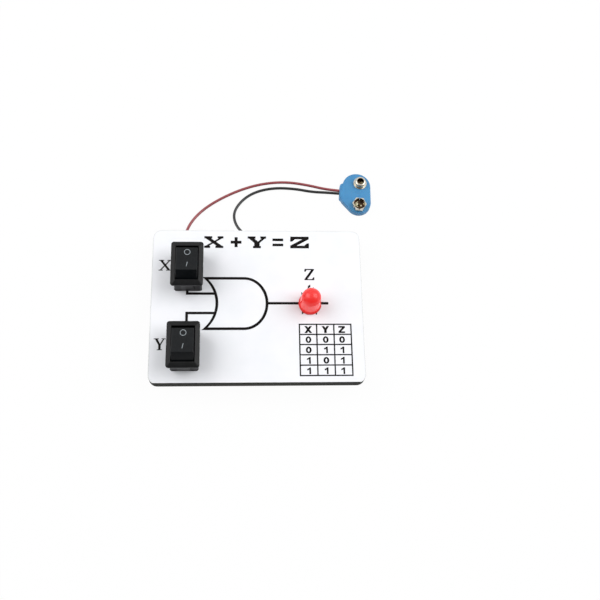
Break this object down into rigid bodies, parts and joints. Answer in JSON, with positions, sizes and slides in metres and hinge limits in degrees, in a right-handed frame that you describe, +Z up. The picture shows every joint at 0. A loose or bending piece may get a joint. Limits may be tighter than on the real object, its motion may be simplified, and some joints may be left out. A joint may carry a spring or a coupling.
{
  "type": "logic gate demonstration board",
  "caption": "Classroom board with a printed gate diagram and truth table, rocker switches for the inputs, a red lamp for the output, and a battery clip on flying leads.",
  "frame": {"origin": "on the table, under the middle of the board, without the flying leads and their clip", "axes": "+X to the right along the board's long side, +Y to its rear edge where the leads leave, +Z up"},
  "size_m": [0.1087, 0.1133, 0.0303],
  "materials": {
    "board_core": "matt dark cut edge",
    "white_face": "smooth printed sheet",
    "black_ink": "printed ink",
    "foot_rubber": "matt",
    "switch_moulding": "satin",
    "rocker_moulding": "satin",
    "plunger_nylon": "smooth",
    "spring_steel": "bright",
    "contact_brass": "bright",
    "contact_silver": "bright",
    "red_lens": "diffused, shiny",
    "tinned_steel": "tinned",
    "lamp_chip": "satin",
    "resistor_coat": "lacquer",
    "solder": "bright",
    "red_wire_cover": "smooth",
    "black_wire_cover": "smooth",
    "clip_blue": "soft vinyl",
    "clip_plate": "hard fibre",
    "nickel_plate": "bright nickel"
  },
  "bodies": {
    "base": {"base_board": "board_core", "face_label": "white_face", "printed_diagram": "black_ink", "printed_table_grid": "black_ink", "rubber_feet": "foot_rubber", "led_lens": "red_lens", "led_anode": "tinned_steel", "led_cathode": "tinned_steel", "led_chip": "lamp_chip", "resistor_body": "resistor_coat", "resistor_leads": "tinned_steel", "solder_joints": "solder", "feed_jumper": "red_wire_cover", "output_jumper": "black_wire_cover", "resistor_link": "black_wire_cover", "red_battery_lead": "red_wire_cover", "black_battery_lead": "black_wire_cover", "clip_cover": "clip_blue", "clip_base_plate": "clip_plate", "snap_rivets": "nickel_plate", "snap_stud": "nickel_plate", "snap_socket": "nickel_plate", "x_switch_housing": "switch_moulding", "x_switch_common_terminal": "contact_brass", "x_switch_contact_terminal": "contact_brass", "x_switch_fixed_contact": "contact_silver", "y_switch_housing": "switch_moulding", "y_switch_common_terminal": "contact_brass", "y_switch_contact_terminal": "contact_brass", "y_switch_fixed_contact": "contact_silver"},
    "x_rocker": {"x_switch_rocker": "rocker_moulding", "x_switch_plunger": "plunger_nylon", "x_switch_spring": "spring_steel"},
    "x_contact_lever": {"x_switch_lever": "contact_brass", "x_switch_moving_contact": "contact_silver"},
    "y_rocker": {"y_switch_rocker": "rocker_moulding", "y_switch_plunger": "plunger_nylon", "y_switch_spring": "spring_steel"},
    "y_contact_lever": {"y_switch_lever": "contact_brass", "y_switch_moving_contact": "contact_silver"}
  },
  "joints": [
    {"name": "x_rocker_tilt", "type": "hinge", "parent": "base", "child": "x_rocker", "pos_m": [-0.0327, 0.0164, 0.0242], "axis": [1, 0, 0], "range_deg": [0, 22]},
    {"name": "x_contact_lever_tilt", "type": "hinge", "parent": "base", "child": "x_contact_lever", "pos_m": [-0.0327, 0.0164, 0.0155], "axis": [1, 0, 0], "range_deg": [-11, 0]},
    {"name": "y_rocker_tilt", "type": "hinge", "parent": "base", "child": "y_rocker", "pos_m": [-0.0336, -0.0224, 0.0242], "axis": [1, 0, 0], "range_deg": [0, 22]},
    {"name": "y_contact_lever_tilt", "type": "hinge", "parent": "base", "child": "y_contact_lever", "pos_m": [-0.0336, -0.0224, 0.0155], "axis": [1, 0, 0], "range_deg": [-11, 0]}
  ],
  "couplings": [
    {"joint": "x_contact_lever_tilt", "follows": "x_rocker_tilt", "ratio": -0.5},
    {"joint": "y_contact_lever_tilt", "follows": "y_rocker_tilt", "ratio": -0.5}
  ]
}
